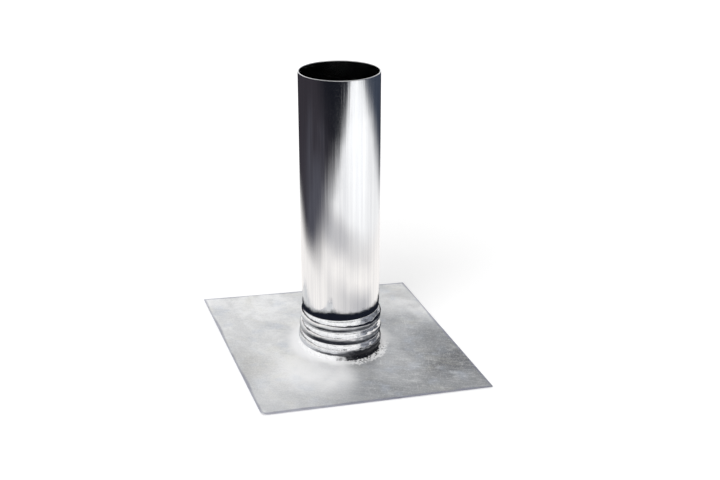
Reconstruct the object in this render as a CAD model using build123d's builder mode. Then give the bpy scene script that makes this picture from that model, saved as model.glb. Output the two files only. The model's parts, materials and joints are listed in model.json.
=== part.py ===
from build123d import *
import math
import os

os.makedirs("parts", exist_ok=True)

# Roof pipe flashing of sheet aluminium: a round pipe with a ribbed, bendable foot,
# welded into a square base sheet. Lengths are in millimetres, angles in degrees.
# The origin is the middle of the sheet's underside, +Z points up and the sheet's
# sides lie along X and Y. The pipe leans because its ribbed foot has been bent.

# Base sheet
sheet_width = 300.0
sheet_depth = 300.0
sheet_thickness = 1.2

# Pipe, measured along its own axis from the underside of the sheet
pipe_diameter = 100.0
pipe_wall = 1.5
pipe_length = 366.0
lean_angle = 4.7
lean_heading = 156.0

# Ribbed foot: a crest is the widest ring of a rib, and a crease is the inward fold
# above or below it. Ribs and creases widen a little from the pipe to the sheet.
rib_count = 3
rib_pitch = 16.5
crest_share_of_pitch = 0.4
crest_above_crease = 2.5
top_crease_depth = 1.0
swell_per_rib = 0.85
lowest_crease_height = 6.0
crease_radius = 0.8
shoulder_length = 12.0
foot_above_underside = 0.2

# Weld between the pipe's collar and the sheet, and the gap that it closes
weld_leg = 4.0
seam_gap = 0.1

# Values worked out from those above
pipe_radius = pipe_diameter / 2
collar_radius = pipe_radius - top_crease_depth + swell_per_rib * rib_count
lean_slope = math.tan(math.radians(lean_angle))
heading_x = math.cos(math.radians(lean_heading))
heading_y = math.sin(math.radians(lean_heading))
lean_direction = Vector(lean_slope * heading_x, lean_slope * heading_y, 1).normalized()
sideways = Vector(-heading_y, heading_x, 0)
pipe_plane = Plane(origin=(0, 0, 0), x_dir=sideways, z_dir=lean_direction)
# The leaning wall is started this far down, so that a level cut at the sheet meets
# it all the way round
depth_below_sheet = 2 * collar_radius * lean_slope + sheet_thickness


def crease(number):
    """Radius and height of a crease, numbered from the sheet upwards."""
    return (collar_radius - swell_per_rib * number, lowest_crease_height + rib_pitch * number)


def crest(number):
    """Radius and height of the crest that lies above a crease."""
    radius, height = crease(number)
    return (radius + crest_above_crease, height + rib_pitch * crest_share_of_pitch)


# Outer skin of the pipe as radius and height. Each rib rises steeply from its lower
# crease and falls away in a longer, flatter curve to the crease above it.
with BuildLine() as outer_skin:
    Line((collar_radius, -depth_below_sheet), crease(0))
    for number in range(rib_count):
        TangentArc(crest(number), crease(number), tangent=(0, -1))
        TangentArc(crest(number), crease(number + 1), tangent=(0, 1))
    shoulder_top = (pipe_radius, crease(rib_count)[1] + shoulder_length)
    TangentArc(shoulder_top, crease(rib_count), tangent=(0, -1))
    Line(shoulder_top, (pipe_radius, pipe_length))
    folds = [
        outer_skin.vertices().sort_by_distance(crease(number))[0]
        for number in range(rib_count + 1)
    ]
    fillet(folds, radius=crease_radius)

# Room that the pipe takes up: the outline filled to the axis and turned upright
with BuildPart() as upright_room:
    with BuildSketch(Plane.XZ) as room_section:
        with BuildLine() as room_outline:
            add(outer_skin.line)
            Polyline(
                outer_skin.line @ 1,
                (0, pipe_length),
                (0, -depth_below_sheet),
                outer_skin.line @ 0,
            )
        make_face()
    revolve(axis=Axis.Z, revolution_arc=360)

# Ribbed pipe: that room laid over to its lean and hollowed from both flat ends into one
# drawn wall of even thickness, then cut level at its foot
with BuildPart() as ribbed_pipe:
    with Locations(pipe_plane):
        add(upright_room.part)
    offset(amount=-pipe_wall, openings=ribbed_pipe.faces().filter_by(GeomType.PLANE))
    split(bisect_by=Plane.XY.offset(foot_above_underside), keep=Keep.TOP)

# Base sheet: flat and square, with a hole that lets the leaning collar through
with BuildPart() as base_sheet:
    with BuildSketch() as sheet_outline:
        Rectangle(sheet_width, sheet_depth)
    extrude(amount=sheet_thickness)
    with BuildSketch(pipe_plane.offset(-depth_below_sheet)) as collar_hole:
        Circle(collar_radius + seam_gap)
    extrude(amount=2 * depth_below_sheet, mode=Mode.SUBTRACT)

# Weld: a convex bead on top of the sheet, turned about an upright axis and then trimmed
# by the leaning pipe inside it. The collar meets the sheet in an ellipse whose longer
# radius is so little more than the shorter one that a bead turned on their mean fits it.
seam_shift = lean_slope * sheet_thickness
seam_middle = (seam_shift * heading_x, seam_shift * heading_y, sheet_thickness)
longer_seam_radius = collar_radius / math.cos(math.radians(lean_angle))
seam_radius = (longer_seam_radius + collar_radius) / 2
seam_plane = Plane(origin=seam_middle, x_dir=(1, 0, 0), z_dir=(0, -1, 0))
with BuildPart() as weld_seam:
    with BuildSketch(seam_plane) as weld_section:
        with BuildLine() as weld_outline:
            bead = CenterArc(center=(seam_radius, 0), radius=weld_leg, start_angle=0, arc_size=180)
            Line(bead @ 1, bead @ 0)
        make_face()
    revolve(axis=Axis(seam_middle, (0, 0, 1)), revolution_arc=360)
    with Locations(pipe_plane):
        add(upright_room.part, mode=Mode.SUBTRACT)

ribbed_pipe.part.label = "ribbed_pipe"
base_sheet.part.label = "base_sheet"
weld_seam.part.label = "weld_seam"
export_step(ribbed_pipe.part, "parts/ribbed_pipe.step")
export_step(base_sheet.part, "parts/base_sheet.step")
export_step(weld_seam.part, "parts/weld_seam.step")
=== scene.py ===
import json
import math

import bpy
from mathutils import Matrix, Vector, noise


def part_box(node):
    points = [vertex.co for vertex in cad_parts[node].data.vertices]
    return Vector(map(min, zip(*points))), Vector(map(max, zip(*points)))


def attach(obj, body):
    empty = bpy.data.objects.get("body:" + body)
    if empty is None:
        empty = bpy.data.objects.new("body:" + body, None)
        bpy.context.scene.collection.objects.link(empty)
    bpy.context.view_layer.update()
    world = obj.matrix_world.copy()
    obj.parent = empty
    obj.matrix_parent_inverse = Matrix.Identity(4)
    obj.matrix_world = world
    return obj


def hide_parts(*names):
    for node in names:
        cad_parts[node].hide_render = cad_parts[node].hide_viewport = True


bl_info = {
    "name": "Pipe flashing",
    "version": (1, 0, 0),
    "blender": (4, 5, 0),
    "location": "View3D > Sidebar > Flashing",
    "description": "Dresses an aluminium roof pipe flashing: ribbed pipe, square sheet and weld",
    "category": "Add Mesh",
}

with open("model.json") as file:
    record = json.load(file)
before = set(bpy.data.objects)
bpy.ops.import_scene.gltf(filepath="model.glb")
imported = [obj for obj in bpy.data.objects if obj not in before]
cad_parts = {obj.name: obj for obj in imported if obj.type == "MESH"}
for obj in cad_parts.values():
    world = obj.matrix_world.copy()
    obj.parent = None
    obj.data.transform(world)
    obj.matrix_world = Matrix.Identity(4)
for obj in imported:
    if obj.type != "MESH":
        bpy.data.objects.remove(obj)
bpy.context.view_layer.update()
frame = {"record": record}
MILLIMETRE = 0.001

# Sizes that the frame gives: the pipe from its two mounts, the rest from the nodes' boxes
mounts = {mount["name"]: mount for mount in frame["record"]["mounts"]}
pipe_mount = mounts["pipe_outside"]
PIPE_AXIS = Vector(pipe_mount["axis"]).normalized()
PIPE_RADIUS = pipe_mount["dims"]["r_mm"] * MILLIMETRE
PIPE_WALL = PIPE_RADIUS - mounts["pipe_bore"]["dims"]["r_mm"] * MILLIMETRE
HALF_MOUNT = pipe_mount["dims"]["length_mm"] * MILLIMETRE / 2
PIPE_LENGTH = Vector(pipe_mount["pos_m"]).length + HALF_MOUNT
PIPE_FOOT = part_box("ribbed_pipe")[0].z
SHEET_LOW, SHEET_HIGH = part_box("base_sheet")
WELD_LOW, WELD_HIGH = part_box("weld_seam")


def level_way(heading):
    """Level direction at an angle from +X."""
    return Vector((math.cos(heading), math.sin(heading), 0))


UPRIGHT = Vector((0, 0, 1))
LEAN = math.acos(PIPE_AXIS.z)
LEAN_HEADING = math.atan2(PIPE_AXIS.y, PIPE_AXIS.x)
LEANWARD = level_way(LEAN_HEADING)
ACROSS = level_way(LEAN_HEADING + math.pi / 2)
# Height along the axis up to which the foot is bent: its collar stands upright on the sheet, and
# each fold above takes its share of the lean
BEND_TOP = 0.0555
BEND_RADIUS = BEND_TOP / LEAN
# Heading of the middle of the side of the foot where shade is painted dark
SHADED_WAY = level_way(math.radians(-55))


def axis_at(height):
    """Place and direction of the pipe's axis at a height along it."""
    if height >= BEND_TOP:
        return PIPE_AXIS * height, PIPE_AXIS
    turn = LEAN * max(height, 0.0) / BEND_TOP
    back = (LEANWARD * (math.cos(turn) - math.cos(LEAN))
            + UPRIGHT * (math.sin(LEAN) - math.sin(turn)))
    place = PIPE_AXIS * BEND_TOP - back * BEND_RADIUS + UPRIGHT * min(height, 0.0)
    return place, LEANWARD * math.sin(turn) + UPRIGHT * math.cos(turn)


FOOT_MIDDLE = axis_at(0.0)[0]


# Sizes and colours that a user can change

def a_length(name, description, default):
    """A length in metres."""
    return bpy.props.FloatProperty(name=name, description=description, default=default,
                                   unit="LENGTH")


def a_share(name, description, default, lowest, highest):
    """A share or a factor."""
    return bpy.props.FloatProperty(name=name, description=description, default=default,
                                   min=lowest, max=highest, subtype="FACTOR")


def an_angle(name, description, degrees):
    """An angle, given here in degrees."""
    return bpy.props.FloatProperty(name=name, description=description,
                                   default=math.radians(degrees), subtype="ANGLE")


def a_colour(name, description, default, highest=1.0):
    """A colour, or a light's colour that may be brighter than white."""
    return bpy.props.FloatVectorProperty(name=name, description=description, default=default,
                                         soft_max=highest, subtype="COLOR")


class FlashingSizes(bpy.types.PropertyGroup):
    """Sizes of the pipe, its ribbed foot, the sheet and the weld."""

    pipe_radius: a_length("Pipe radius", "Outside radius of the straight pipe", PIPE_RADIUS)
    pipe_wall: a_length("Pipe wall", "Thickness of the drawn wall", PIPE_WALL)
    pipe_length: a_length(
        "Pipe length", "Length along the axis, from the sheet's underside", PIPE_LENGTH)
    rib_count: bpy.props.IntProperty(
        name="Ribs", description="Ribs in the bendable foot", default=3, min=1, max=8)
    rib_pitch: a_length("Rib pitch", "Distance between creases along the axis", 0.0165)
    crest_share: a_share(
        "Crest place", "Height of a lower crest as a share of the pitch", 0.37, 0.1, 0.9)
    top_crest_share: a_share(
        "Top crest place", "Height of the top crest as a share of the pitch", 0.4, 0.1, 0.9)
    crest_rise: a_length(
        "Crest rise", "How far a crest stands out from its lower crease", 0.0025)
    top_crease_depth: a_length(
        "Top crease depth", "How far the top crease lies inside the pipe's skin", 0.001)
    swell: a_length("Swell per rib", "Growth in radius from each rib to the one below", 0.00085)
    lowest_crease: a_length("Lowest crease", "Height of the lowest crease along the axis", 0.006)
    crease_round: a_length(
        "Crease rounding", "Half width over which a crease is rounded", 0.0007)
    shoulder: a_length(
        "Shoulder", "Length of the curve from the straight pipe to the top crease", 0.012)
    rim_round: a_length("Rim rounding", "Rounding of the two edges of the cut rim", 0.00025)
    dent_depth: a_length(
        "Dents", "Depth of the small dents in the ribs on their crumpled side", 0.0006)
    dent_heading: an_angle(
        "Crumpled side", "Heading of the side on which the ribs are crumpled", -35)
    sheet_gap: a_length(
        "Hole gap", "Gap between the collar and the edge of the sheet's hole", 0.0001)
    sheet_wave: a_length(
        "Sheet wave", "How far the sheet's rim lifts off the ground in places", 0.0011)
    corner_curl: a_length("Corner curl", "Height of the bent front left corner", 0.0022)
    weld_climb: a_share(
        "Weld climb", "How much taller the weld is on its ground side", 1.15, 0.0, 2.0)
    weld_toe: a_length(
        "Weld toe", "How far the weld's ragged toe may pass its even width", 0.0018)


class FlashingFinish(bpy.types.PropertyGroup):
    """Colours of the pipe, the sheet and the weld."""

    pipe_pale: a_colour(
        "Pipe, pale lines", "Colour of the brightest drawn lines", (0.97, 0.972, 0.975))
    pipe_deep: a_colour(
        "Pipe, deep lines", "Colour of the dullest drawn lines", (0.83, 0.838, 0.855))
    pipe_scorch: a_colour(
        "Pipe, dulled fold", "Colour of the lowest fold where the weld has dulled it",
        (0.64, 0.65, 0.68))
    sheet_pale: a_colour("Sheet, clean", "Colour of the clean sheet", (0.97, 0.975, 0.98))
    # This dull grey is the colour of the sheet's painted shade on its right side, and also of its
    # duller rims, lines and grain
    sheet_dull_and_shade: a_colour("Sheet, dull", "Colour of the dull grey side", (0.52, 0.535, 0.555))
    # The darkest colour is painted shade, deepest towards the front right corner and at the right
    # rim
    sheet_painted_shade: a_colour(
        "Sheet, darkest", "Colour of the sheet towards its dullest corner", (0.15, 0.155, 0.168))
    sheet_cloud: a_colour("Sheet, clouds", "Colour of the cloudy patches", (0.74, 0.745, 0.75))
    sheet_stain: a_colour(
        "Sheet, warm stain", "Colour of the faint yellow handling stains", (0.80, 0.78, 0.68))
    sheet_worn: a_colour(
        "Sheet, worn patch", "Colour of the worn patch at the left rim", (0.52, 0.51, 0.475))
    sheet_rim: a_colour(
        "Sheet, rim line", "Colour of the dull line along the cut rim", (0.26, 0.27, 0.37))
    sheet_blue: a_colour(
        "Sheet, cool stain", "Colour of the faint blue stains", (0.62, 0.68, 0.78))
    weld_bright: a_colour(
        "Weld, bright", "Colour of the bright weld metal", (0.96, 0.96, 0.965))
    weld_dull: a_colour("Weld, dull", "Colour of the weld's hollows", (0.42, 0.43, 0.46))
    # This near black is painted shade on one side of the foot: on the weld, the pipe's lowest fold
    # and in specks on the sheet
    weld_painted_shade: a_colour(
        "Weld, burnt", "Colour of the weld's burnt side", (0.018, 0.019, 0.025))


class FlashingStage(bpy.types.PropertyGroup):
    """Camera, light and the cards that the bright metal reflects."""

    camera_place: bpy.props.FloatVectorProperty(
        name="Camera place", description="Where the camera stands",
        subtype="XYZ", unit="LENGTH", default=(-0.4756, -1.1980, 0.7056))
    camera_heading: an_angle("Camera heading", "Turn of the view from +Y towards +X", 22.23)
    camera_dip: an_angle("Camera dip", "How far the view points below level", 23.39)
    camera_roll: an_angle("Camera roll", "Roll of the camera about its own view", 5.23)
    camera_lens: bpy.props.FloatProperty(
        name="Lens", description="Focal length in millimetres on a 36 mm wide frame",
        default=55.32)
    card_left: a_colour(
        "Dark card, left", "Colour of the dark surround on the left", (0.038, 0.034, 0.042))
    card_right: a_colour(
        "Dark card, right", "Colour of the dark surround on the right", (0.045, 0.056, 0.082))
    card_front: a_colour(
        "Dark card, front", "Colour of the dark surround in front", (0.007, 0.008, 0.013))
    card_foot: a_colour(
        "Dark card, foot", "Colour of the dark discs round the foot", (0.010, 0.012, 0.020))
    card_overhead: a_colour(
        "Dark card, overhead", "Colour of the dark card overhead", (0.012, 0.013, 0.018))
    world_grey: a_colour(
        "Grey side", "Colour of the surroundings' grey side on the right", (0.33, 0.345, 0.39))
    world_blots: a_colour(
        "Grey side, blots", "Colour of the dark blots in the grey side", (0.05, 0.052, 0.06))
    pool_pale: a_colour(
        "Pool, pale", "Colour of the lit floor beside the object", (0.985, 0.955, 0.93), 2.0)
    pool_dull: a_colour(
        "Pool, dull", "Colour of the duller patches of the lit floor", (0.56, 0.555, 0.57), 2.0)
    pool_plain: a_colour(
        "Pool, plain", "Colour of the lit floor farther away", (0.95, 0.95, 0.955), 2.0)
    pool_edge: a_colour(
        "Pool, edge", "Colour of the half lit floor beyond the pool's left edge",
        (0.085, 0.085, 0.105))
    pool_bright: a_colour(
        "Pool, bright", "Colour of the brightest lit floor, in front on the right",
        (1.14, 1.15, 1.16), 2.0)


# Nodes

class Net:
    """The nodes of one shader. An input may be a plain value or another node's output."""

    def __init__(self, tree):
        self.tree = tree

    def wire(self, value, socket):
        """Joins an output to a socket, or gives the socket a plain value."""
        if isinstance(value, bpy.types.NodeSocket):
            self.tree.links.new(value, socket)
        else:
            socket.default_value = value

    def add(self, kind, inputs=None, **settings):
        """Adds a node with its settings and inputs."""
        node = self.tree.nodes.new(kind)
        for name, value in settings.items():
            setattr(node, name, value)
        for key, value in (inputs or {}).items():
            self.wire(value, node.inputs[key])
        return node

    def calculate(self, operation, first, *others):
        """The result of a Math node, or of a row of them."""
        for other in others:
            inputs = {0: first, 1: other}
            first = self.add("ShaderNodeMath", inputs, operation=operation).outputs[0]
        return first

    def plus(self, *values):
        """The sum of the values."""
        return self.calculate("ADD", *values)

    def less(self, *values):
        """The first value less the others."""
        return self.calculate("SUBTRACT", *values)

    def times(self, *values):
        """The product of the values."""
        return self.calculate("MULTIPLY", *values)

    def most(self, *values):
        """The largest of the values."""
        return self.calculate("MAXIMUM", *values)

    def ramp(self, value, low, high, to_low=0.0, to_high=1.0, kind="SMOOTHSTEP"):
        """Maps a value from one range to another, with soft ends."""
        inputs = {"Value": value, "From Min": low, "From Max": high,
                  "To Min": to_low, "To Max": to_high}
        return self.add("ShaderNodeMapRange", inputs, interpolation_type=kind).outputs[0]

    def vector(self, operation, *values):
        """The vector that a Vector Math node makes."""
        inputs = dict(enumerate(values))
        return self.add("ShaderNodeVectorMath", inputs, operation=operation).outputs[0]

    def measure(self, operation, *values):
        """The value that a Vector Math node measures."""
        inputs = dict(enumerate(values))
        return self.add("ShaderNodeVectorMath", inputs, operation=operation).outputs["Value"]

    def place(self):
        """The object's own coordinates."""
        return self.add("ShaderNodeTexCoord").outputs["Object"]

    def split(self, vector):
        """A vector's three parts."""
        return self.add("ShaderNodeSeparateXYZ", {0: vector}).outputs

    def blend(self, share, first, second):
        """Mixes two colours."""
        first, second = (value if isinstance(value, bpy.types.NodeSocket) else (*value, 1.0)
                         for value in (first, second))
        inputs = {0: share, 6: first, 7: second}
        return self.add("ShaderNodeMix", inputs, data_type="RGBA").outputs[2]

    def coats(self, colour, *coats):
        """Lays coats over a colour one after another, each given as its share and its colour."""
        for share, coat in coats:
            colour = self.blend(share, colour, coat)
        return colour

    def blend_values(self, share, first, second):
        """Mixes two values."""
        inputs = {0: share, 2: first, 3: second}
        return self.add("ShaderNodeMix", inputs, data_type="FLOAT").outputs[0]

    def noise(self, vector, scale, detail=3.0, roughness=0.5, distortion=0.0):
        """A noise texture's value."""
        inputs = {"Vector": vector, "Scale": scale, "Detail": detail, "Roughness": roughness,
                  "Distortion": distortion}
        return self.add("ShaderNodeTexNoise", inputs).outputs["Fac"]

    def wander(self, vector, scale, detail=3.0, roughness=0.5):
        """Noise that wanders to both sides of 0."""
        return self.less(self.noise(vector, scale, detail, roughness), 0.5)

    def spot(self, place, middle, radius):
        """1 in the middle of a round spot, fading to 0 at its radius."""
        return self.ramp(self.measure("DISTANCE", place, middle), radius, radius * 0.25)

    def group(self, name, inputs):
        """Places one of the shared groups. Returns its outputs."""
        return self.add("ShaderNodeGroup", inputs, node_tree=bpy.data.node_groups[name]).outputs

    def bump(self, height, strength, depth):
        """A normal bent by small heights."""
        inputs = {"Height": height, "Strength": strength, "Distance": depth}
        return self.add("ShaderNodeBump", inputs).outputs[0]


def new_group(name, inputs, outputs):
    """A shader node group with named sockets, where an input without a default is a vector.
    Returns its net, what it is given and what it puts out."""
    tree = bpy.data.node_groups.new(name, "ShaderNodeTree")
    for socket, default in inputs.items():
        kind = "NodeSocketVector" if default is None else "NodeSocketFloat"
        item = tree.interface.new_socket(name=socket, in_out="INPUT", socket_type=kind)
        if default is not None:
            item.default_value = default
    for socket in outputs:
        tree.interface.new_socket(name=socket, in_out="OUTPUT", socket_type="NodeSocketFloat")
    net = Net(tree)
    return net, net.add("NodeGroupInput").outputs, net.add("NodeGroupOutput").inputs


def new_material(name):
    """A material with a Principled shader. Returns it, its net and the shader's inputs."""
    material = bpy.data.materials.new(name)
    material.use_nodes = True
    net = Net(material.node_tree)
    return material, net, net.tree.nodes["Principled BSDF"].inputs


# Shared effects

def make_lines_group():
    """Fine lines along the vector's Z, as drawing and rolling leave them in metal."""
    net, given, result = new_group(
        "Metal lines", {"Vector": None, "Fine": 1400.0, "Coarse": 260.0, "Stretch": 0.012},
        ("Height", "Tone"))
    stretch = net.add("ShaderNodeCombineXYZ", {"X": 1.0, "Y": 1.0, "Z": given["Stretch"]})
    drawn = net.vector("MULTIPLY", given["Vector"], stretch.outputs[0])
    fine = net.noise(drawn, given["Fine"], detail=2.0)
    coarse = net.noise(drawn, given["Coarse"], detail=3.0, roughness=0.6)
    height = net.plus(net.times(fine, 0.35), coarse)
    net.wire(height, result["Height"])
    net.wire(net.ramp(height, 0.45, 0.9), result["Tone"])


def make_clouds_group():
    """Soft cloudy patches in two sizes, as handling and weather leave them on bare sheet."""
    net, given, result = new_group(
        "Cloudy patches", {"Vector": None, "Large": 9.0, "Small": 45.0, "Mottle": 0.35},
        ("Patch", "Stain"))
    large = net.noise(given["Vector"], given["Large"], detail=2.0, distortion=0.4)
    small = net.wander(given["Vector"], given["Small"], detail=6.0, roughness=0.65)
    patch = net.ramp(net.plus(large, net.times(small, given["Mottle"])), 0.32, 0.68)
    elsewhere = net.vector("ADD", given["Vector"], (3.7, 1.9, 5.3))
    stain = net.noise(elsewhere, given["Large"], detail=4.0, roughness=0.6, distortion=0.8)
    net.wire(patch, result["Patch"])
    net.wire(net.ramp(stain, 0.5, 0.75), result["Stain"])


def make_specks_group():
    """Small bright specks and short scratches that run two ways."""
    net, given, result = new_group(
        "Specks and scratches", {"Vector": None, "Scale": 260.0, "Amount": 0.12},
        ("Specks", "Scratches"))
    cells = net.add("ShaderNodeTexVoronoi", {"Vector": given["Vector"], "Scale": given["Scale"]})
    speck = net.ramp(cells.outputs["Distance"], given["Amount"], 0.0)
    chance = net.add("ShaderNodeSeparateColor", {0: cells.outputs["Color"]}).outputs[0]
    net.wire(net.times(speck, net.calculate("GREATER_THAN", chance, 0.6)), result["Specks"])
    found = []
    for turn in (0.35, 1.9):
        inputs = {"Vector": given["Vector"], "Angle": turn}
        turned = net.add("ShaderNodeVectorRotate", inputs, rotation_type="Z_AXIS").outputs[0]
        lines = net.noise(net.vector("MULTIPLY", turned, (1.0, 0.05, 1.0)), 520.0, detail=1.0)
        patches = net.noise(turned, 24.0, detail=2.0)
        found.append(net.times(net.ramp(lines, 0.66, 0.74), net.ramp(patches, 0.5, 0.66)))
    net.wire(net.most(*found), result["Scratches"])


def distance_from_middle(net, place):
    """Level distance from the middle of the pipe's foot."""
    shifted = net.vector("SUBTRACT", place, FOOT_MIDDLE)
    return net.measure("LENGTH", net.vector("MULTIPLY", shifted, (1.0, 1.0, 0.0)))


def facing_shaded_side(net, place):
    """Cosine of the turn between a place's direction from the foot and the painted shade's middle.
    """
    facing = net.measure("DOT_PRODUCT", place, SHADED_WAY)
    return net.calculate("DIVIDE", facing, distance_from_middle(net, place))


# How squarely a place has to face the painted shade's middle to take the painted shade
SHADE_EDGES = (0.40, 0.82)


def painted_shade_side(net, place, wobble):
    """1 on the side of the foot where shade is painted dark, 0 on the other."""
    return net.ramp(net.plus(facing_shaded_side(net, place), wobble), *SHADE_EDGES)


# The pipe's finish. The weld's heat has dulled the pipe between these heights over the sheet's
# underside. On the side with painted shade the dulled zone reaches higher by the climb and is
# painted dark as shade.
SCORCH_HEIGHTS = (0.0145, 0.0115)
SHADE_CLIMB = 0.003
# A line of painted shade just over the weld, where the collar meets it: the heights at which it
# fades, and its strength by how squarely a place faces the painted shade's middle
SHADE_LINE_HEIGHTS = (0.0112, 0.0102)
SHADE_LINE_STRENGTH = (-0.35, 0.25, 0.0, 0.88)
# How far the edges of both wander, as a height and as a turn
SCORCH_WANDER = 0.006
SCORCH_TURN = 0.4
PIPE_HAZE = 0.35
PIPE_ROUGHNESS = (0.05, 0.11)
SCRATCHED_ROUGHNESS = 0.08
SCORCHED_ROUGHNESS = 0.3
SCORCHED_METALLIC = 0.6


def make_drawn_aluminium(finish):
    """Bright drawn aluminium with fine lengthwise lines, dulled just over the weld, and painted
    dark there as shade on one side and in a line where the collar meets the weld.
    """
    material, net, shader = new_material("bright_drawn_finish")
    place = net.place()
    turn = PIPE_AXIS.rotation_difference(UPRIGHT).to_euler()
    along = net.add("ShaderNodeMapping", {"Vector": place, "Rotation": turn}).outputs[0]
    lines = net.group("Metal lines", {"Vector": along})
    clouds = net.group("Cloudy patches", {"Vector": along, "Large": 14.0, "Small": 60.0})
    marks = net.group("Specks and scratches", {"Vector": along, "Scale": 210.0, "Amount": 0.1})
    wander = net.wander(place, 150.0, detail=4.0)
    shaded = painted_shade_side(net, place, net.times(wander, SCORCH_TURN))
    ragged = net.less(net.plus(net.split(place)[2], net.times(wander, SCORCH_WANDER)),
                      net.times(shaded, SHADE_CLIMB))
    scorched = net.ramp(ragged, *SCORCH_HEIGHTS)
    shade_line = net.times(net.ramp(ragged, *SHADE_LINE_HEIGHTS),
                         net.ramp(facing_shaded_side(net, place), *SHADE_LINE_STRENGTH))
    # On the shaded side, and in the line over the weld, the colour is painted shade over the
    # heat-dulled fold
    scorch_and_shade = net.blend(net.most(shaded, shade_line), finish.pipe_scorch, finish.weld_painted_shade)
    colour = net.coats(
        net.blend(lines["Tone"], finish.pipe_deep, finish.pipe_pale),
        (net.times(clouds["Patch"], PIPE_HAZE), finish.pipe_deep),
        (scorched, scorch_and_shade))
    roughness = net.plus(net.ramp(clouds["Patch"], 0.0, 1.0, *PIPE_ROUGHNESS),
                         net.times(marks["Scratches"], SCRATCHED_ROUGHNESS),
                         net.times(scorched, SCORCHED_ROUGHNESS))
    net.wire(colour, shader["Base Color"])
    net.wire(net.ramp(scorched, 0.0, 1.0, 1.0, SCORCHED_METALLIC), shader["Metallic"])
    net.wire(roughness, shader["Roughness"])
    net.wire(net.bump(lines["Height"], 1.0, 0.0002), shader["Normal"])
    return material


# The sheet's finish, with places and distances in metres. Painted shade lies to the right of a
# skewed border, and ends towards the back right corner.
SHADED_SIDE = (-0.055, 0.035)
SHADE_SKEW = -0.2
SHADE_ENDS = (0.215, 0.150)
BORDER_WANDER = 0.09
# The painted shade deepens this way, over this range, with this wander
SHADE_WAY = (0.6, -0.8, 0.0)
SHADE_RANGE = (0.05, 0.145)
SHADE_WANDER = 0.10
# Duller along the front rim and the front part of the left rim
DULLER_FRONT = (-0.075, -0.145)
DULLER_LEFT = (-0.10, -0.15)
DULLER_LEFT_END = (0.06, -0.02)
DULLER_RIM_SHARE = 0.5
# Patches, each with its middle and radius, and its share or its range of shares
PALE_CLOUD = (Vector((0.050, -0.080, 0.0)), 0.055)
PALE_CLOUD_SHARES = (-0.2, 0.2, 0.1, 0.55)
WORN_PATCH = (Vector((-0.135, -0.035, 0.0)), 0.055)
WORN_SHARE = 0.45
# A pale patch behind the pipe on the right is a painted highlight
BACK_HIGHLIGHT = (Vector((0.085, 0.085, 0.0)), 0.045)
BACK_HIGHLIGHT_SHARE = 0.6
# A dark patch at the right rim is painted shade
RIM_SHADE = (Vector((0.132, -0.012, 0.0)), 0.045)
RIM_SHADE_SHARE = 0.4
BENT_CORNER = (Vector((-0.150, -0.150, 0.0)), 0.005)
# Clouds and stains all over the sheet
CLOUD_SHARE = 0.55
WARM_SHARE = 0.4
COOL_STAINS = (0.5, 0.72, 0.0, 0.4)
BLOTCHES = (0.52, 0.68, 0.0, 0.35)
# Pale and dull rolling lines and grain, each by its height
ROLLED_HEADING = math.radians(-20)
PALE_LINES, DULL_LINES = (0.62, 0.9, 0.0, 0.22), (0.62, 0.4, 0.0, 0.14)
PALE_GRAIN, DULL_GRAIN = (0.50, 0.64, 0.0, 0.28), (0.50, 0.36, 0.0, 0.20)
# The bright ground ring round the weld, and a painted highlight in a lobe in front of it. Where
# the ring faces the painted shade it is narrower and torn, with dark specks of painted shade
# inside it.
GROUND_RING = (0.079, 0.059)
RING_FRAY = 0.012
RING_WANDER = 0.03
TORN_RING = (0.0655, 0.0600)
TORN_FRAY = 0.022
TORN_SIDE = (0.5, 0.9)
HIGHLIGHT_LOBE = (Vector((-0.055, -0.072, 0.0)), 0.068)
HIGHLIGHT_SHARES = (-0.2, 0.15, 0.95, 0.45)
# Dark specks of painted shade in the torn ring
SHADE_SPECK_GRAINS = (0.03, 0.09)
SHADE_SPECK_SIDE = (0.7, 0.9)
SHADE_SPECK_REACH = (0.062, 0.057)
SCRATCH_SHARE = 0.35
# The dull line along the cut rim, by the distance from the rim
RIM_LINE = (0.0042, 0.0008, 0.0, 0.6)
RIM_WANDER = 0.008
# How metallic the plain sheet and its ground ring and painted highlight are, and how rough the
# clear and the cloudy sheet
SHEET_METALLIC = (0.5, 0.1)
SHEET_ROUGHNESS = (0.30, 0.42)
CLOUD_RELIEF = 0.6


def sheet_shaded_side(net, x, y, wobble):
    """1 where shade is painted on the sheet, 0 where it is not, with a cloudy border between them.
    """
    side = net.ramp(net.plus(x, net.times(y, SHADE_SKEW), wobble), *SHADED_SIDE)
    return net.times(side, net.ramp(net.plus(x, y, wobble), *SHADE_ENDS))


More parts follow.
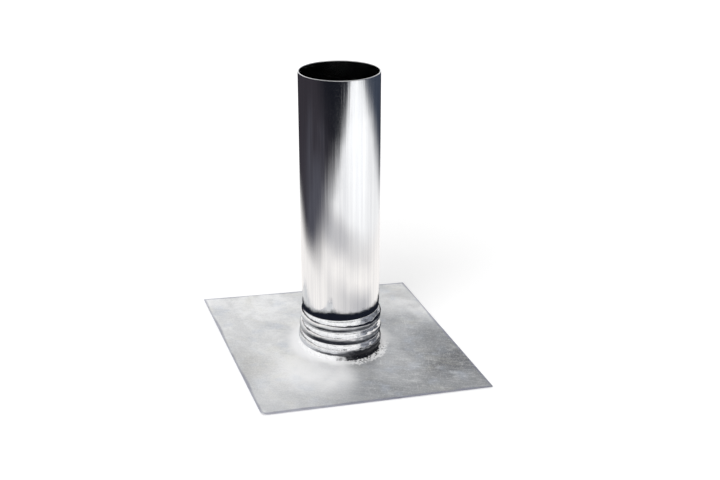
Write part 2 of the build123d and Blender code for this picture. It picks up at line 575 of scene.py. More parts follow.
def stained_and_shaded_sheet(net, finish, place, wander, clouds):
    """The sheet's colour: its clouds, its worn places and its stains, with painted shade on its
    right side, deepest towards one corner, and a painted highlight behind the pipe.
    """
    x, y, _ = net.split(place)
    wobble = net.times(wander, BORDER_WANDER)
    deeper_shade = net.plus(net.measure("DOT_PRODUCT", place, SHADE_WAY), net.times(wander, SHADE_WANDER))
    front = net.ramp(net.plus(y, wobble), *DULLER_FRONT)
    left = net.times(net.ramp(net.plus(x, wobble), *DULLER_LEFT), net.ramp(y, *DULLER_LEFT_END))
    cloud_share = net.ramp(wander, *PALE_CLOUD_SHARES)
    cool = net.noise(place, 31.0, detail=4.0)
    blotches = net.noise(place, 55.0, detail=4.0, roughness=0.6)
    return net.coats(
        net.blend(net.times(clouds["Patch"], CLOUD_SHARE), finish.sheet_pale, finish.sheet_cloud),
        (sheet_shaded_side(net, x, y, wobble), finish.sheet_dull_and_shade),
        (net.ramp(deeper_shade, *SHADE_RANGE), finish.sheet_painted_shade),
        (net.times(net.most(front, left), DULLER_RIM_SHARE), finish.sheet_dull_and_shade),
        (net.times(net.spot(place, *PALE_CLOUD), cloud_share), finish.sheet_cloud),
        (net.times(net.spot(place, *WORN_PATCH), WORN_SHARE), finish.sheet_worn),
        (net.times(clouds["Stain"], WARM_SHARE), finish.sheet_stain),
        (net.ramp(cool, *COOL_STAINS), finish.sheet_blue),
        (net.ramp(blotches, *BLOTCHES), finish.sheet_cloud),
        (net.times(net.spot(place, *BACK_HIGHLIGHT), BACK_HIGHLIGHT_SHARE), finish.sheet_pale),
        (net.times(net.spot(place, *RIM_SHADE), RIM_SHADE_SHARE), finish.sheet_painted_shade))


def make_sheet_aluminium(finish):
    """Soft rolled sheet: satin, with painted shade on one side, stains and
    scratches, ground bright in a ragged ring round the weld, and a painted highlight in front of
    the weld."""
    material, net, shader = new_material("satin_sheet_finish")
    place = net.place()
    clouds = net.group("Cloudy patches",
                       {"Vector": place, "Large": 14.0, "Small": 70.0, "Mottle": 0.9})
    marks = net.group("Specks and scratches", {"Vector": place})
    rolled = net.add("ShaderNodeCombineXYZ", {
        "X": net.measure("DOT_PRODUCT", place, level_way(ROLLED_HEADING + math.pi / 2)),
        "Z": net.measure("DOT_PRODUCT", place, level_way(ROLLED_HEADING))}).outputs[0]
    lines = net.group("Metal lines",
                      {"Vector": rolled, "Fine": 620.0, "Coarse": 230.0, "Stretch": 0.16})
    grain = net.noise(place, 520.0, detail=2.0, roughness=0.7)
    wander = net.wander(place, 16.0, detail=5.0, roughness=0.6)
    scatter = net.wander(place, 380.0)

    away = distance_from_middle(net, place)
    turned = facing_shaded_side(net, place)
    frayed = net.plus(away, net.times(net.less(grain, 0.5), RING_FRAY),
                      net.times(wander, RING_WANDER))
    torn = net.plus(away, net.times(scatter, TORN_FRAY))
    ring = net.blend_values(net.ramp(turned, *TORN_SIDE), net.ramp(frayed, *GROUND_RING),
                            net.ramp(torn, *TORN_RING))
    # A painted highlight in a lobe in front of the weld, joined below to the ground ring
    highlight = net.times(net.spot(place, *HIGHLIGHT_LOBE), net.ramp(wander, *HIGHLIGHT_SHARES))
    ground = net.most(ring, highlight)
    # Dark specks of painted shade where the ring faces the shaded side
    shade_specks = net.times(net.ramp(scatter, *SHADE_SPECK_GRAINS), net.ramp(turned, *SHADE_SPECK_SIDE),
                     net.ramp(away, *SHADE_SPECK_REACH))
    x, y, _ = net.split(net.vector("ABSOLUTE", place))
    inside = net.plus(net.less(SHEET_HIGH.x, net.most(x, y)), net.times(wander, RIM_WANDER))
    colour = net.coats(
        stained_and_shaded_sheet(net, finish, place, wander, clouds),
        (net.ramp(lines["Height"], *PALE_LINES), finish.sheet_pale),
        (net.ramp(lines["Height"], *DULL_LINES), finish.sheet_dull_and_shade),
        (net.ramp(grain, *PALE_GRAIN), finish.sheet_pale),
        (net.ramp(grain, *DULL_GRAIN), finish.sheet_dull_and_shade),
        (ground, finish.weld_bright),
        (net.most(marks["Specks"], net.times(marks["Scratches"], SCRATCH_SHARE)),
         finish.sheet_pale),
        (shade_specks, finish.weld_painted_shade),
        (net.ramp(inside, *RIM_LINE), finish.sheet_rim),
        (net.spot(place, *BENT_CORNER), finish.sheet_pale))
    relief = net.plus(lines["Height"], net.times(clouds["Patch"], CLOUD_RELIEF))
    net.wire(colour, shader["Base Color"])
    net.wire(net.ramp(ground, 0.0, 1.0, *SHEET_METALLIC), shader["Metallic"])
    net.wire(net.ramp(clouds["Patch"], 0.0, 1.0, *SHEET_ROUGHNESS), shader["Roughness"])
    net.wire(net.bump(relief, 0.15, 0.0003), shader["Normal"])
    return material


# The weld's finish: wander of the edge of its painted shade, shares of its hollows and sparks, and
# how metallic and rough it is from its pale side to its side with painted shade and from its clear
# to its cloudy parts
WELD_TURN = 0.5
HOLLOW_SHARE = 0.12
SPARK_SHARE = 0.8
WELD_METALLIC = (0.05, 0.9)
WELD_ROUGHNESS = (0.3, 0.5)


def make_weld_metal(finish):
    """Weld metal, ground pale on one side and left ragged on the other, where it is painted dark
    as shade.
    """
    material, net, shader = new_material("ragged_weld_finish")
    place = net.place()
    clouds = net.group("Cloudy patches", {"Vector": place, "Large": 120.0, "Small": 420.0})
    marks = net.group("Specks and scratches", {"Vector": place, "Scale": 420.0, "Amount": 0.3})
    # The dark side of the weld is painted shade
    shaded = painted_shade_side(net, place, net.times(net.wander(place, 160.0, detail=4.0), WELD_TURN))
    colour = net.coats(
        net.blend(net.times(clouds["Patch"], HOLLOW_SHARE), finish.weld_bright, finish.weld_dull),
        (shaded, finish.weld_painted_shade),
        (net.times(marks["Specks"], SPARK_SHARE), finish.weld_bright))
    net.wire(colour, shader["Base Color"])
    net.wire(net.ramp(shaded, 0.0, 1.0, *WELD_METALLIC), shader["Metallic"])
    net.wire(net.ramp(clouds["Patch"], 0.0, 1.0, *WELD_ROUGHNESS), shader["Roughness"])
    net.wire(net.bump(clouds["Patch"], 0.5, 0.0003), shader["Normal"])
    return material


def finish_named(name, maker):
    """The material of that name, made with its shared groups the first time it is asked for."""
    if "Metal lines" not in bpy.data.node_groups:
        make_lines_group()
        make_clouds_group()
        make_specks_group()
    return bpy.data.materials.get(name) or maker(bpy.context.scene.flashing_finish)


# Meshes

LEVEL_CUT_STEPS = 4


def clamped(value):
    """The value kept between 0 and 1."""
    return max(0.0, min(1.0, value))


def sideways_at(direction, angle):
    """Direction out of the axis at an angle round it."""
    return ACROSS * math.cos(angle) + ACROSS.cross(direction) * math.sin(angle)


def place_on_pipe(radius, height, angle):
    """The point at that radius, height along the axis and angle round it."""
    place, direction = axis_at(height)
    return place + sideways_at(direction, angle) * radius


def height_of_level_cut(radius, angle, level):
    """Height along the axis at which a wall of that radius meets a level plane."""
    height = level
    for _ in range(LEVEL_CUT_STEPS):
        height += level - place_on_pipe(radius, height, angle).z
    return height


def point_at_level(radius, angle, level):
    """The point of a wall of that radius that lies in a level plane."""
    return place_on_pipe(radius, height_of_level_cut(radius, angle, level), angle)


def collar_radius(sizes):
    """Outside radius of the collar under the ribs."""
    return sizes.pipe_radius - sizes.top_crease_depth + sizes.swell * sizes.rib_count


def ribs_top(sizes):
    """Height of the top crease along the axis."""
    return sizes.lowest_crease + sizes.rib_pitch * sizes.rib_count


def closed_piece(name, rings, material, node):
    """Builds one closed mesh and lets it stand for a CAD node.

    Its rings of points run once round the section of a wall, and the last joins the first."""
    count = len(rings[0])
    points = [point for ring in rings for point in ring]
    faces = []
    for row in range(len(rings)):
        low, high = row * count, (row + 1) % len(rings) * count
        for column in range(count):
            after = (column + 1) % count
            faces.append((low + column, low + after, high + after, high + column))
    mesh = bpy.data.meshes.new(name)
    mesh.from_pydata(points, [], faces)
    mesh.shade_smooth()
    mesh.materials.append(material)
    piece = bpy.data.objects.new(name, mesh)
    bpy.context.scene.collection.objects.link(piece)
    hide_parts(node)
    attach(piece, "root")
    return piece


# Pipe

ROUND_COUNT = 288
RIB_STEP = 0.0005
STRAIGHT_RINGS = 24
RIM_TURNS = (30, 60, 90)
# Rings just under the rim, as multiples of its rounding
RIM_STEPS = (6, 2, 0)
CREASE_SPOTS = (-1.0, -0.5, 0.0, 0.5, 1.0)
# Dents: how deep they are all round as a share, and how close and strong the two kinds are, by
# their fineness round the pipe and along it
DENT_BASE = 0.15
CRUMPLE = (130, 320)
RIPPLE = (60, 90)
RIPPLE_SHARE = 0.6


def arc_radius(crest_radius, fall, rise, height):
    """Radius, at a height above or below a crest, of the arc that leaves it upright
    and has fallen inwards by fall once it is rise away."""
    bend = (fall * fall + rise * rise) / (2 * fall)
    away = min(abs(height), bend)
    return crest_radius - (bend - math.sqrt(bend * bend - away * away))


def outer_radius(sizes, height):
    """Sharp outline of the pipe: radius at a height along the axis."""
    along = (height - sizes.lowest_crease) / sizes.rib_pitch
    if along < 0:
        return collar_radius(sizes)
    rib = int(along)
    if rib >= sizes.rib_count:
        below = min(0.0, height - ribs_top(sizes) - sizes.shoulder)
        return arc_radius(sizes.pipe_radius, sizes.top_crease_depth, sizes.shoulder, below)
    crest_radius = collar_radius(sizes) - sizes.swell * rib + sizes.crest_rise
    share = sizes.top_crest_share if rib == sizes.rib_count - 1 else sizes.crest_share
    from_crest = height - sizes.lowest_crease - sizes.rib_pitch * (rib + share)
    if from_crest < 0:
        return arc_radius(crest_radius, sizes.crest_rise, sizes.rib_pitch * share, from_crest)
    return arc_radius(crest_radius, sizes.crest_rise + sizes.swell,
                      sizes.rib_pitch * (1 - share), from_crest)


def rounded_radius(sizes, height):
    """The outline with its creases rounded, as the mean over a short stretch."""
    radii = [outer_radius(sizes, height + sizes.crease_round * spot) for spot in CREASE_SPOTS]
    return sum(radii) / len(radii)


def dent(sizes, angle, height):
    """Small dents in the ribs, deepest on the crumpled side and gone on the straight pipe."""
    below_top = ribs_top(sizes) - height
    if below_top < 0:
        return 0.0
    facing = sideways_at(PIPE_AXIS, angle).dot(level_way(sizes.dent_heading))
    side = DENT_BASE + (1 - DENT_BASE) * max(0.0, facing) ** 2
    skin = level_way(angle) * sizes.pipe_radius
    crumple, ripple = (noise.noise(skin * fine + UPRIGHT * height * tall)
                       for fine, tall in (CRUMPLE, RIPPLE))
    fade = min(1.0, below_top / sizes.rib_pitch * 3)
    return (crumple + RIPPLE_SHARE * ripple) * sizes.dent_depth * side * fade


def pipe_heights(sizes):
    """Heights of the mesh's rings: close together on the ribs, far apart on the straight pipe."""
    top = ribs_top(sizes) + sizes.shoulder
    rib_rings = int(top / RIB_STEP)
    straight = sizes.pipe_length - sizes.rim_round - top
    close = [top * ring / rib_rings for ring in range(1, rib_rings)]
    plain = [top + straight * ring / STRAIGHT_RINGS for ring in range(STRAIGHT_RINGS)]
    return close + plain + [top + straight - step * sizes.rim_round for step in RIM_STEPS]


def pipe_rings(sizes):
    """Rings of the pipe's wall: up the outer skin, over the rim and down the bore."""
    angles = [math.tau * step / ROUND_COUNT for step in range(ROUND_COUNT)]
    heights = pipe_heights(sizes)
    collar = rounded_radius(sizes, 0)
    bore = sizes.pipe_radius - sizes.pipe_wall

    def foot_ring(radius):
        return [point_at_level(radius, angle, PIPE_FOOT) for angle in angles]

    def skin_ring(height, depth):
        radius = rounded_radius(sizes, height) - depth
        ring = []
        for angle in angles:
            lowest = height_of_level_cut(radius, angle, PIPE_FOOT) + RIB_STEP / 10
            ring.append(place_on_pipe(radius + dent(sizes, angle, height),
                                      max(height, lowest), angle))
        return ring

    def rim_ring(radius, way, degrees):
        turn = math.radians(degrees)
        radius += way * sizes.rim_round * (1 - math.cos(turn))
        height = heights[-1] + sizes.rim_round * math.sin(turn)
        return [place_on_pipe(radius, height, angle) for angle in angles]

    rings = [foot_ring(collar)]
    rings += [skin_ring(height, 0) for height in heights]
    rings += [rim_ring(sizes.pipe_radius, -1, degrees) for degrees in RIM_TURNS]
    rings += [rim_ring(bore, 1, degrees) for degrees in reversed(RIM_TURNS)]
    rings += [skin_ring(height, sizes.pipe_wall) for height in reversed(heights[::2])]
    return rings + [foot_ring(collar - sizes.pipe_wall)]


class FLASHING_OT_pipe(bpy.types.Operator):
    """Makes the drawn pipe with its ribbed foot, which leans out of the sheet's square"""

    bl_idname = "flashing.pipe"
    bl_label = "Ribbed pipe"

    def execute(self, context):
        material = finish_named("bright_drawn_finish", make_drawn_aluminium)
        closed_piece("pipe_with_ribs", pipe_rings(context.scene.flashing_sizes), material,
                     "ribbed_pipe")
        return {"FINISHED"}


# Sheet

SHEET_ROUND = 480
SHEET_RINGS = 56
# The rings lie closer together near the hole by this power
RING_POWER = 1.15
# Rounding of the cut rim, and the share of the way out at which it begins
SHEET_EDGE = 0.00025
EDGE_BEGINS = 0.9985
# Wander and nicks of the cut rim: their depth, their fineness and how rare the nicks are
RIM_DEPTH = 0.00025
RIM_FINENESS = (55, 260)
NICK_DEPTH = 0.004
NICK_FINENESS = 150
NICK_RARITY = 0.52
# The waves begin this far from the middle and are full after this much more
WAVE_BEGINS = 0.075
WAVE_GROWS = 0.09
WAVE_FINENESS = 7.5
CORNER_REACH = 0.011
SHARP_EDGE = math.radians(40)


def sheet_rim(angle):
    """Point of the sheet's square outline in that direction from its middle."""
    half = (SHEET_HIGH - SHEET_LOW) / 2
    way = level_way(angle)
    return way / max(abs(way.x) / half.x, abs(way.y) / half.y)


def rim_wear(point, outward):
    """Small wander and a few nicks in the sheet's cut rim, as a shift inwards."""
    coarse, fine = (noise.noise(point * fineness) for fineness in RIM_FINENESS)
    nick = noise.noise(point * NICK_FINENESS + Vector((7, 0, 0))) - NICK_RARITY
    return -outward * (abs(RIM_DEPTH * (coarse + 0.5 * fine)) + max(0.0, nick) * NICK_DEPTH)


def sheet_lift(sizes, point):
    """Gentle waves that lift the sheet's outer part, and the bent corner."""
    outer = clamped((point.length - WAVE_BEGINS) / WAVE_GROWS)
    wave = 0.5 + 0.5 * noise.noise(point * WAVE_FINENESS + Vector((0, 0, 3.1)))
    corner = Vector((SHEET_LOW.x, SHEET_LOW.y, 0))
    near = clamped(1 - (point - corner).length / CORNER_REACH)
    return sizes.sheet_wave * wave * outer * outer + sizes.corner_curl * near * near


def snap_to_corner(heading):
    """Moves a heading that is nearly a corner's onto the corner, so that corners stay sharp."""
    quarter = math.pi / 2
    corner = quarter / 2 + quarter * round(heading / quarter - 0.5)
    return corner if abs(heading - corner) < math.pi / SHEET_ROUND else heading


def sheet_rings(sizes):
    """Rings of the sheet: out over the top from the hole, round the rim and back underneath."""
    angles = [math.tau * step / SHEET_ROUND for step in range(SHEET_ROUND)]
    hole_radius = collar_radius(sizes) + sizes.sheet_gap
    bottom, top = SHEET_LOW.z, SHEET_HIGH.z

    def ring(share, level, drop=0.0):
        points = []
        for angle in angles:
            inner = point_at_level(hole_radius, angle, level)
            inner.z = 0
            rim = sheet_rim(snap_to_corner(math.atan2(inner.y, inner.x)))
            point = inner.lerp(rim, share)
            if share == 1:
                point += rim_wear(point, rim.normalized())
            points.append(point + UPRIGHT * (level - drop + sheet_lift(sizes, point)))
        return points

    shares = [(step / SHEET_RINGS) ** RING_POWER for step in range(SHEET_RINGS)]
    over = [ring(share, top) for share in shares]
    over.append(ring(EDGE_BEGINS, top, SHEET_EDGE / 3))
    edge = [ring(1, top - SHEET_EDGE), ring(1, bottom + SHEET_EDGE)]
    under = [ring(share, bottom) for share in [EDGE_BEGINS] + shares[::4][::-1]]
    return over + edge + under


class FLASHING_OT_sheet(bpy.types.Operator):
    """Makes the square base sheet with its hole, worn rim and bent corner"""

    bl_idname = "flashing.sheet"
    bl_label = "Base sheet"

    def execute(self, context):
        material = finish_named("satin_sheet_finish", make_sheet_aluminium)
        piece = closed_piece("square_sheet", sheet_rings(context.scene.flashing_sizes), material,
                             "base_sheet")
        piece.data.set_sharp_from_angle(angle=SHARP_EDGE)
        return {"FINISHED"}


# Weld

WELD_ROUND = 720
WELD_STEPS = 10
# How far the hidden back is sunk into the collar and the sheet
WELD_SUNK = 0.00012
# Ripples round the whole weld, and how far they wander
RIPPLE_COUNT = 150
RIPPLE_WANDER = 2
# Width and height as shares of the CAD weld's height, the second with what ripples and lumps add
TOE_SHARE = 0.4
LEAST_RAGGED = -0.35
TALL_SHARE, TALL_RIPPLE, TALL_LUMPS = 0.72, 0.12, 0.2
# The weld is low where it faces the side with painted shade by more than the first value, and
# grows taller over the second
LOW_SIDE, LOW_GROWS = 0.80, 0.28
# Far round on the other side it climbs less, down to the share
FAR_SIDE, FAR_GROWS, FAR_SHARE = -0.55, 0.4, 0.3
# Powers that shape its rounded face outwards and upwards, and what ripples add to it
OUT_POWER, UP_POWER, FACE_RIPPLE = 1.25, 1.35, 0.07


def weld_section(sizes, angle):
    """The weld's section at an angle: its face from the collar to the toe, and its hidden back."""
    collar = collar_radius(sizes)
    leg = WELD_HIGH.z - WELD_LOW.z
    foot = point_at_level(collar, angle, WELD_LOW.z)
    outward = Vector((foot.x, foot.y, 0)).normalized()
    around = level_way(angle) * collar
    ragged = noise.noise(around * 230) + 0.6 * noise.noise(around * 620)
    ripple = 0.5 + 0.5 * math.cos(angle * RIPPLE_COUNT + RIPPLE_WANDER * noise.noise(around * 60))
    lumps = noise.noise(around * 180 + Vector((0, 0, 9)))
    facing = outward.dot(SHADED_WAY)
    climb = clamped((LOW_SIDE - facing) / LOW_GROWS)
    climb *= FAR_SHARE + (1 - FAR_SHARE) * clamped((facing - FAR_SIDE) / FAR_GROWS)
    toe = leg * TOE_SHARE + sizes.weld_toe * max(LEAST_RAGGED, ragged)
    tall = leg * (TALL_SHARE + TALL_RIPPLE * ripple + TALL_LUMPS * lumps)
    tall *= 1 + sizes.weld_climb * climb
    section = []
    for part in range(WELD_STEPS + 1):
        turn = math.pi / 2 * part / WELD_STEPS
        swelling = 1 + FACE_RIPPLE * ripple * math.sin(2 * turn)
        out = toe * math.sin(turn) ** OUT_POWER * swelling
        up = tall * math.cos(turn) ** UP_POWER * swelling
        wall = point_at_level(collar, angle, WELD_LOW.z + up)
        section.append(foot.lerp(wall, 1 - part / WELD_STEPS) + outward * out)
        section[-1].z = foot.z + up
    section[0] -= outward * WELD_SUNK
    section[-1] -= UPRIGHT * WELD_SUNK
    section.append(foot - (outward + UPRIGHT) * WELD_SUNK)
    return section


def weld_rings(sizes):
    """Rings of the weld, one for each point of its section."""
    sections = [weld_section(sizes, math.tau * step / WELD_ROUND) for step in range(WELD_ROUND)]
    return [list(ring) for ring in zip(*sections)]


class FLASHING_OT_weld(bpy.types.Operator):
    """Makes the ragged weld that joins the pipe's collar to the sheet"""

    bl_idname = "flashing.weld"
    bl_label = "Weld seam"

    def execute(self, context):
        material = finish_named("ragged_weld_finish", make_weld_metal)
        closed_piece("ragged_weld", weld_rings(context.scene.flashing_sizes), material,
                     "weld_seam")
        return {"FINISHED"}


# Stage

FLOOR_HALF = 6.0
FLOOR_LEVEL = -0.0006
FLOOR_PAINT = (0.88, 0.88, 0.88, 1.0)
# The floor glows a little, and more between these distances, where the lamp no longer reaches it
FLOOR_GLOW = (0.25, 1.3, 0.21, 0.45)
# The card overhead is clear beyond the first distance and fully dark within the second
CEILING_HALF = 3.2
CEILING_LEVEL = 1.5
CEILING_RIM = (3.0, 1.1)
# Two dark discs round the foot, each clear beyond its first radius and dark within its second: one
# under the shoulder, and one over the lowest rib. The first leaves the pipe itself clear.
DISC_HALF = 0.25
SHOULDER_DISC = (0.098, 0.078)
SHOULDER_DISC_LEVEL = 0.048
SHOULDER_DISC_HOLE = (0.051, 0.053)
FOLD_DISC = (0.116, 0.060)
FOLD_DISC_LEVEL = 0.0165
# How much narrower they are towards the camera's left, by the distance that way, how much narrower
# the second is by how squarely it faces the side with painted shade, and how dark that makes it
SHOULDER_LEFT = (0.02, 0.065, 0.0, 0.021)
FOLD_LEFT = (0.045, 0.070, 0.0, 0.015)
FOLD_TURNED = (0.5, 0.95, 0.0, 0.012)
FOLD_DARKNESS = (-0.9, -0.1, 0.5, 0.975)
# Turn from the camera's heading to the middle of the surroundings' grey side, how squarely a ray
# has to face it to find the grey, how high the grey reaches, and how its blots spread
GREY_TURN = math.radians(65)
GREY_EDGES = (0.40, 0.66)
GREY_HEIGHTS = (0.62, 0.45)
GREY_BLOTS = (0.40, 0.56)
# A low grey line runs round the surroundings between these heights, as sines of its elevation
LINE_RISES = (0.03, 0.08)
LINE_FALLS = (0.24, 0.17)
LINE_DEPTH = 0.2
# How strongly the surroundings light the object, and how they look to the camera and the metal
WORLD_STRENGTHS = (0.7, 1.0)
LAMP_PLACE = Vector((-1.5, -1.5, 2.1))
LAMP_AIM = Vector((0, 0, 0.1))
LAMP_SIZE = 1.6
LAMP_POWER = 41.0
SENSOR_WIDTH = 36.0
# The pool of lit floor round the object, as its pipe reflects it. Directions are in degrees from
# the camera's side, positive towards the camera's right, and reaches in metres.
POOL_REACH = (
    (-180, 0.72), (-150, 0.56), (-90, 0.345), (-60, 0.39), (-30, 0.62), (0, 0.90), (28, 1.52),
    (50, 2.45), (75, 2.02), (105, 1.52), (135, 1.05), (155, 0.80), (180, 0.72))
LONGEST_REACH = 2.5
POOL_SOFTNESS = (
    (-180, 0.3), (-120, 0.3), (-90, 0.2), (-50, 0.5), (-15, 0.35), (30, 0.2), (90, 0.2),
    (135, 0.45), (180, 0.3))
POOL_WANDER = 0.22
POOL_POWER = 2.2
# Strength of the half lit edge beyond the pool by direction, and where it fades
POOL_EDGE = (
    (-180, 0.0), (-110, 0.2), (-85, 1.0), (-55, 1.0), (-35, 0.3), (-20, 0.0), (180, 0.0))
EDGE_FADES = (1.0, 0.45)
# The pool is pale within the first distance and plain beyond the second
PLAIN_BEYOND = (0.40, 0.60)
# The brightest part lies this far to the right and this much nearer to the camera
BRIGHT_PLACE = (1.05, 0.75)
BRIGHT_RADIUS = 1.0
# How dull the lit floor is in its middle and near the object, by direction, and where that begins
# and ends
MIDDLE_DULL = (
    (-180, 0.0), (-90, 0.2), (-60, 0.6), (-35, 1.0), (5, 0.95), (25, 0.7), (45, 0.5), (80, 0.4),
    (120, 0.1), (180, 0.0))
MIDDLE_BEGINS, MIDDLE_ENDS = (0.33, 0.43), (0.60, 0.47)
NEAR_DULL = (
    (-180, 0.0), (-60, 0.0), (-30, 0.25), (0, 0.55), (30, 0.75), (60, 1.0), (90, 0.7), (120, 0.0),
    (180, 0.0))
NEAR_ENDS = (0.32, 0.235)
DULL_WANDER = 0.12
# The dark surround turns from the left's colour to the right's over this range, and has its own
# colour in front, except on the far right
SIDE_RANGE = (-0.4, 1.0)
FRONT_BEGINS = (0.3, 1.2)
FRONT_ENDS = (1.2, 0.4)


def flat_square(name, half, level, material):
    """A level square of the stage."""
    mesh = bpy.data.meshes.new(name)
    corners = [(-half, -half, level), (half, -half, level), (half, half, level),
               (-half, half, level)]
    mesh.from_pydata(corners, [], [(0, 1, 2, 3)])
    mesh.materials.append(material)
    square = bpy.data.objects.new(name, mesh)
    bpy.context.scene.collection.objects.link(square)
    return square


def only_reflected(card):
    """Lets a card show in bright metal alone: the camera, the light and the floor pass it by."""
    card.visible_camera = False
    card.visible_diffuse = False
    card.visible_transmission = False
    card.visible_volume_scatter = False
    card.visible_shadow = False


def bare_material(name):
    """A material without a shader. Returns the material, its net and its surface's socket."""
    material = bpy.data.materials.new(name)
    material.use_nodes = True
    net = Net(material.node_tree)
    net.tree.nodes.clear()
    return material, net, net.add("ShaderNodeOutputMaterial").inputs["Surface"]


def show_card(net, surface, colour, share):
    """Shows a dark card where the share is 1 and leaves it clear where it is 0."""
    glow = net.add("ShaderNodeEmission", {"Color": (*colour, 1.0), "Strength": 1.0})
    clear = net.add("ShaderNodeBsdfTransparent")
    inputs = {0: share, 1: clear.outputs[0], 2: glow.outputs[0]}
    net.wire(net.add("ShaderNodeMixShader", inputs).outputs[0], surface)


def shows_background(net):
    """1 for the rays that should find a white background, 0 for the others."""
    path = net.add("ShaderNodeLightPath").outputs
    return net.most(path["Is Camera Ray"], path["Is Glossy Ray"], path["Is Transmission Ray"])


def make_floor():
    """Pale floor that keeps the object's soft shadow and is white where nothing shades it."""
    material, net, surface = bare_material("pale_floor")
    paint = net.add("ShaderNodeBsdfDiffuse", {"Color": FLOOR_PAINT})
    lift = net.ramp(net.measure("LENGTH", net.place()), *FLOOR_GLOW)
    strength = net.times(shows_background(net), lift)
    glow = net.add("ShaderNodeEmission", {"Color": (1.0, 1.0, 1.0, 1.0), "Strength": strength})
    both = net.add("ShaderNodeAddShader", {0: paint.outputs[0], 1: glow.outputs[0]})
    net.wire(both.outputs[0], surface)
    flat_square("studio_floor", FLOOR_HALF, FLOOR_LEVEL, material)


def value_by_direction(net, turn, points, highest=1.0):
    """A value that follows a smooth curve through points given by direction in degrees."""
    node = net.add("ShaderNodeFloatCurve", {"Value": turn})
    curve = node.mapping.curves[0]
    spots = [((degrees + 180) / 360, value / highest) for degrees, value in points]
    curve.points[0].location, curve.points[1].location = spots[0], spots[-1]
    for spot in spots[1:-1]:
        curve.points.new(*spot)
    node.mapping.update()
    return net.times(node.outputs[0], highest)


def lit_pool(net, stage, place, turn, away, cloud):
    """Colour of the lit floor: pale near the object, plain farther away, dull in places and
    brightest in front on the right."""
    rightward = level_way(-stage.camera_heading)
    nearer = level_way(-stage.camera_heading - math.pi / 2)
    brightest = rightward * BRIGHT_PLACE[0] + nearer * BRIGHT_PLACE[1]
    clouded = net.plus(away, net.times(cloud, DULL_WANDER))
    middle = net.times(net.ramp(clouded, *MIDDLE_BEGINS), net.ramp(clouded, *MIDDLE_ENDS),
                       value_by_direction(net, turn, MIDDLE_DULL))
    near = net.times(net.ramp(clouded, *NEAR_ENDS), value_by_direction(net, turn, NEAR_DULL))
    return net.coats(
        net.blend(net.ramp(away, *PLAIN_BEYOND), stage.pool_pale, stage.pool_plain),
        (net.spot(place, brightest, BRIGHT_RADIUS), stage.pool_bright),
        (net.most(middle, near), stage.pool_dull))


def make_floor_card(stage):
    """The lit pool of floor and its dark surround, seen in the metal alone."""
    material, net, surface = bare_material("floor_card")
    place = net.place()
    heading = stage.camera_heading
    rightwards = net.measure("DOT_PRODUCT", place, level_way(-heading))
    forwards = net.measure("DOT_PRODUCT", place, level_way(-heading - math.pi / 2))
    away = net.measure("LENGTH", place)
    direction = net.calculate("ARCTAN2", rightwards, forwards)
    turn = net.ramp(direction, -math.pi, math.pi, kind="LINEAR")
    cloud = net.wander(place, 3.2, detail=4.0)
    reach = value_by_direction(net, turn, POOL_REACH, LONGEST_REACH)
    softness = value_by_direction(net, turn, POOL_SOFTNESS)
    share = net.plus(net.calculate("DIVIDE", away, reach), net.times(cloud, POOL_WANDER))
    lit = net.ramp(share, net.plus(1.0, softness), net.less(1.0, softness))
    edge = net.times(value_by_direction(net, turn, POOL_EDGE),
                     net.ramp(net.plus(away, cloud), *EDGE_FADES))
    front = net.times(net.ramp(forwards, *FRONT_BEGINS), net.ramp(rightwards, *FRONT_ENDS))
    colour = net.coats(
        net.blend(net.ramp(rightwards, *SIDE_RANGE), stage.card_left, stage.card_right),
        (front, stage.card_front),
        (edge, stage.pool_edge),
        (net.calculate("POWER", lit, POOL_POWER),
         lit_pool(net, stage, place, turn, away, cloud)))
    glow = net.add("ShaderNodeEmission", {"Color": colour, "Strength": 1.0})
    net.wire(glow.outputs[0], surface)
    only_reflected(flat_square("floor_card", FLOOR_HALF, FLOOR_LEVEL / 2, material))


def make_dark_disc(stage, name, level, dark_part):
    """A dark card that shows in the metal alone, and only from above: from below it is clear, so
    what lies under it isn't dimmed. dark_part gives its darkness from the place, the distance
    from the foot's middle and the distance towards the camera's left."""
    material, net, surface = bare_material(name)
    place = net.place()
    away = distance_from_middle(net, place)
    leftwards = net.measure("DOT_PRODUCT", place, -level_way(-stage.camera_heading))
    above = net.less(1.0, net.add("ShaderNodeNewGeometry").outputs["Backfacing"])
    dark = dark_part(net, place, away, leftwards)
    show_card(net, surface, stage.card_foot, net.times(dark, above))
    only_reflected(flat_square(name, DISC_HALF, level, material))


def shoulder_disc_part(net, place, away, leftwards):
    """Darkness of the disc below the shoulder: it draws the wide dark band over the ribs."""
    rim = net.plus(away, net.times(net.wander(place, 70.0), 0.02),
                   net.ramp(leftwards, *SHOULDER_LEFT))
    return net.times(net.ramp(rim, *SHOULDER_DISC), net.ramp(away, *SHOULDER_DISC_HOLE))


def fold_disc_part(net, place, away, leftwards):
    """Darkness of the disc over the lowest rib: it draws the dark bands in the folds."""
    turned = facing_shaded_side(net, place)
    rim = net.plus(away, net.times(net.wander(place, 60.0), 0.03),
                   net.ramp(leftwards, *FOLD_LEFT), net.ramp(turned, *FOLD_TURNED))
    return net.times(net.ramp(rim, *FOLD_DISC), net.ramp(turned, *FOLD_DARKNESS))


def make_ceiling(stage):
    """Dark card overhead with a soft rim, seen in the metal alone."""
    material, net, surface = bare_material("dark_ceiling")
    flat = net.vector("MULTIPLY", net.place(), (1.0, 1.0, 0.0))
    dark = net.ramp(net.measure("LENGTH", flat), *CEILING_RIM)
    show_card(net, surface, stage.card_overhead, dark)
    only_reflected(flat_square("dark_ceiling_card", CEILING_HALF, CEILING_LEVEL, material))


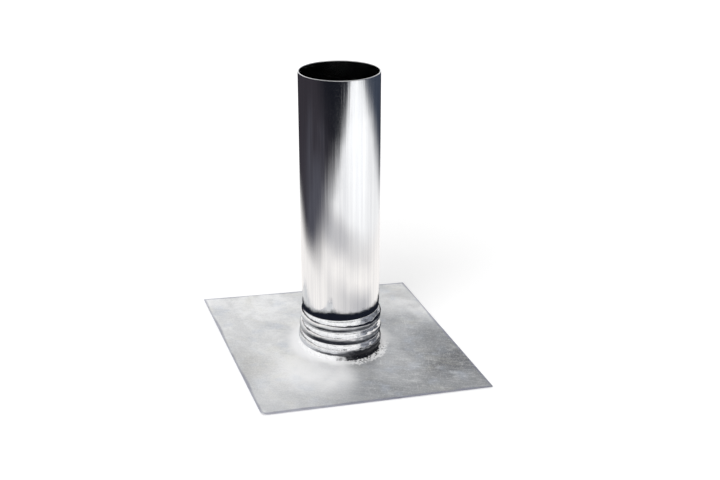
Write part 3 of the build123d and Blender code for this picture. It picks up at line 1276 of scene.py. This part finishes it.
def make_world(stage):
    """White surroundings for the camera and the metal, greyer on the right and in a low line for
    the metal, and plain soft light for the rest."""
    world = bpy.data.worlds.new("white_studio")
    bpy.context.scene.world = world
    world.use_nodes = True
    net = Net(world.node_tree)
    background = net.tree.nodes["Background"].inputs
    ray = net.add("ShaderNodeTexCoord").outputs["Generated"]
    height = net.split(ray)[2]
    grey_way = level_way(math.pi / 2 - stage.camera_heading - GREY_TURN)
    facing = net.measure("DOT_PRODUCT", ray, grey_way)
    side = net.times(net.ramp(facing, *GREY_EDGES), net.ramp(height, *GREY_HEIGHTS))
    line = net.times(net.ramp(height, *LINE_RISES), net.ramp(height, *LINE_FALLS), LINE_DEPTH)
    glossy = net.add("ShaderNodeLightPath").outputs["Is Glossy Ray"]
    blots = net.ramp(net.noise(ray, 4.5), *GREY_BLOTS)
    colour = net.blend(net.times(net.most(side, line), glossy), (1.0, 1.0, 1.0),
                       net.blend(blots, stage.world_blots, stage.world_grey))
    strength = net.ramp(shows_background(net), 0.0, 1.0, *WORLD_STRENGTHS, kind="LINEAR")
    net.wire(colour, background["Color"])
    net.wire(strength, background["Strength"])


def make_lamp():
    """One large soft lamp, high on the left, for the object's shadow."""
    light = bpy.data.lights.new("soft_lamp", "AREA")
    light.shape = "DISK"
    light.size = LAMP_SIZE
    light.energy = LAMP_POWER
    lamp = bpy.data.objects.new("soft_lamp", light)
    bpy.context.scene.collection.objects.link(lamp)
    lamp.location = LAMP_PLACE
    lamp.rotation_euler = (LAMP_AIM - LAMP_PLACE).to_track_quat("-Z", "Y").to_euler()
    lamp.visible_glossy = False


def make_camera(stage):
    """The camera at the photograph's angle."""
    dip, roll = stage.camera_dip, stage.camera_roll
    level_right = level_way(-stage.camera_heading)
    forward = UPRIGHT.cross(level_right) * math.cos(dip) - UPRIGHT * math.sin(dip)
    level_up = level_right.cross(forward)
    right = level_right * math.cos(roll) + level_up * math.sin(roll)
    up = level_up * math.cos(roll) - level_right * math.sin(roll)
    camera = bpy.data.objects.new("camera", bpy.data.cameras.new("camera"))
    bpy.context.scene.collection.objects.link(camera)
    turn = Matrix((right, up, -forward)).transposed().to_4x4()
    camera.matrix_world = Matrix.Translation(stage.camera_place) @ turn
    camera.data.sensor_width = SENSOR_WIDTH
    camera.data.lens = stage.camera_lens
    bpy.context.scene.camera = camera


class FLASHING_OT_stage(bpy.types.Operator):
    """Sets the camera, the pale floor, the soft light and the cards that the metal reflects"""

    bl_idname = "flashing.stage"
    bl_label = "Stage"

    def execute(self, context):
        stage = context.scene.flashing_stage
        context.scene.view_settings.view_transform = "Standard"
        make_camera(stage)
        make_world(stage)
        make_lamp()
        make_floor()
        make_floor_card(stage)
        make_dark_disc(stage, "shoulder_disc", SHOULDER_DISC_LEVEL, shoulder_disc_part)
        make_dark_disc(stage, "fold_disc", FOLD_DISC_LEVEL, fold_disc_part)
        make_ceiling(stage)
        return {"FINISHED"}


class FLASHING_PT_panel(bpy.types.Panel):
    """Lists the makers of the flashing's pieces and its stage"""

    bl_idname = "FLASHING_PT_panel"
    bl_label = "Pipe flashing"
    bl_space_type = "VIEW_3D"
    bl_region_type = "UI"
    bl_category = "Flashing"

    def draw(self, context):
        layout = self.layout
        for maker in MAKERS:
            layout.operator(maker.bl_idname)
        scene = context.scene
        for group in (scene.flashing_sizes, scene.flashing_finish, scene.flashing_stage):
            box = layout.box()
            for name in group.__annotations__:
                box.prop(group, name)


GROUPS = (FlashingSizes, FlashingFinish, FlashingStage)
MAKERS = (FLASHING_OT_stage, FLASHING_OT_sheet, FLASHING_OT_pipe, FLASHING_OT_weld)


def register():
    for item in GROUPS + MAKERS + (FLASHING_PT_panel,):
        bpy.utils.register_class(item)
    bpy.types.Scene.flashing_sizes = bpy.props.PointerProperty(type=FlashingSizes)
    bpy.types.Scene.flashing_finish = bpy.props.PointerProperty(type=FlashingFinish)
    bpy.types.Scene.flashing_stage = bpy.props.PointerProperty(type=FlashingStage)


def unregister():
    del bpy.types.Scene.flashing_sizes
    del bpy.types.Scene.flashing_finish
    del bpy.types.Scene.flashing_stage
    for item in reversed(GROUPS + MAKERS + (FLASHING_PT_panel,)):
        bpy.utils.unregister_class(item)


def main():
    """Makes the stage and every piece."""
    register()
    bpy.ops.flashing.stage()
    bpy.ops.flashing.sheet()
    bpy.ops.flashing.pipe()
    bpy.ops.flashing.weld()


if __name__ == "__main__":
    main()
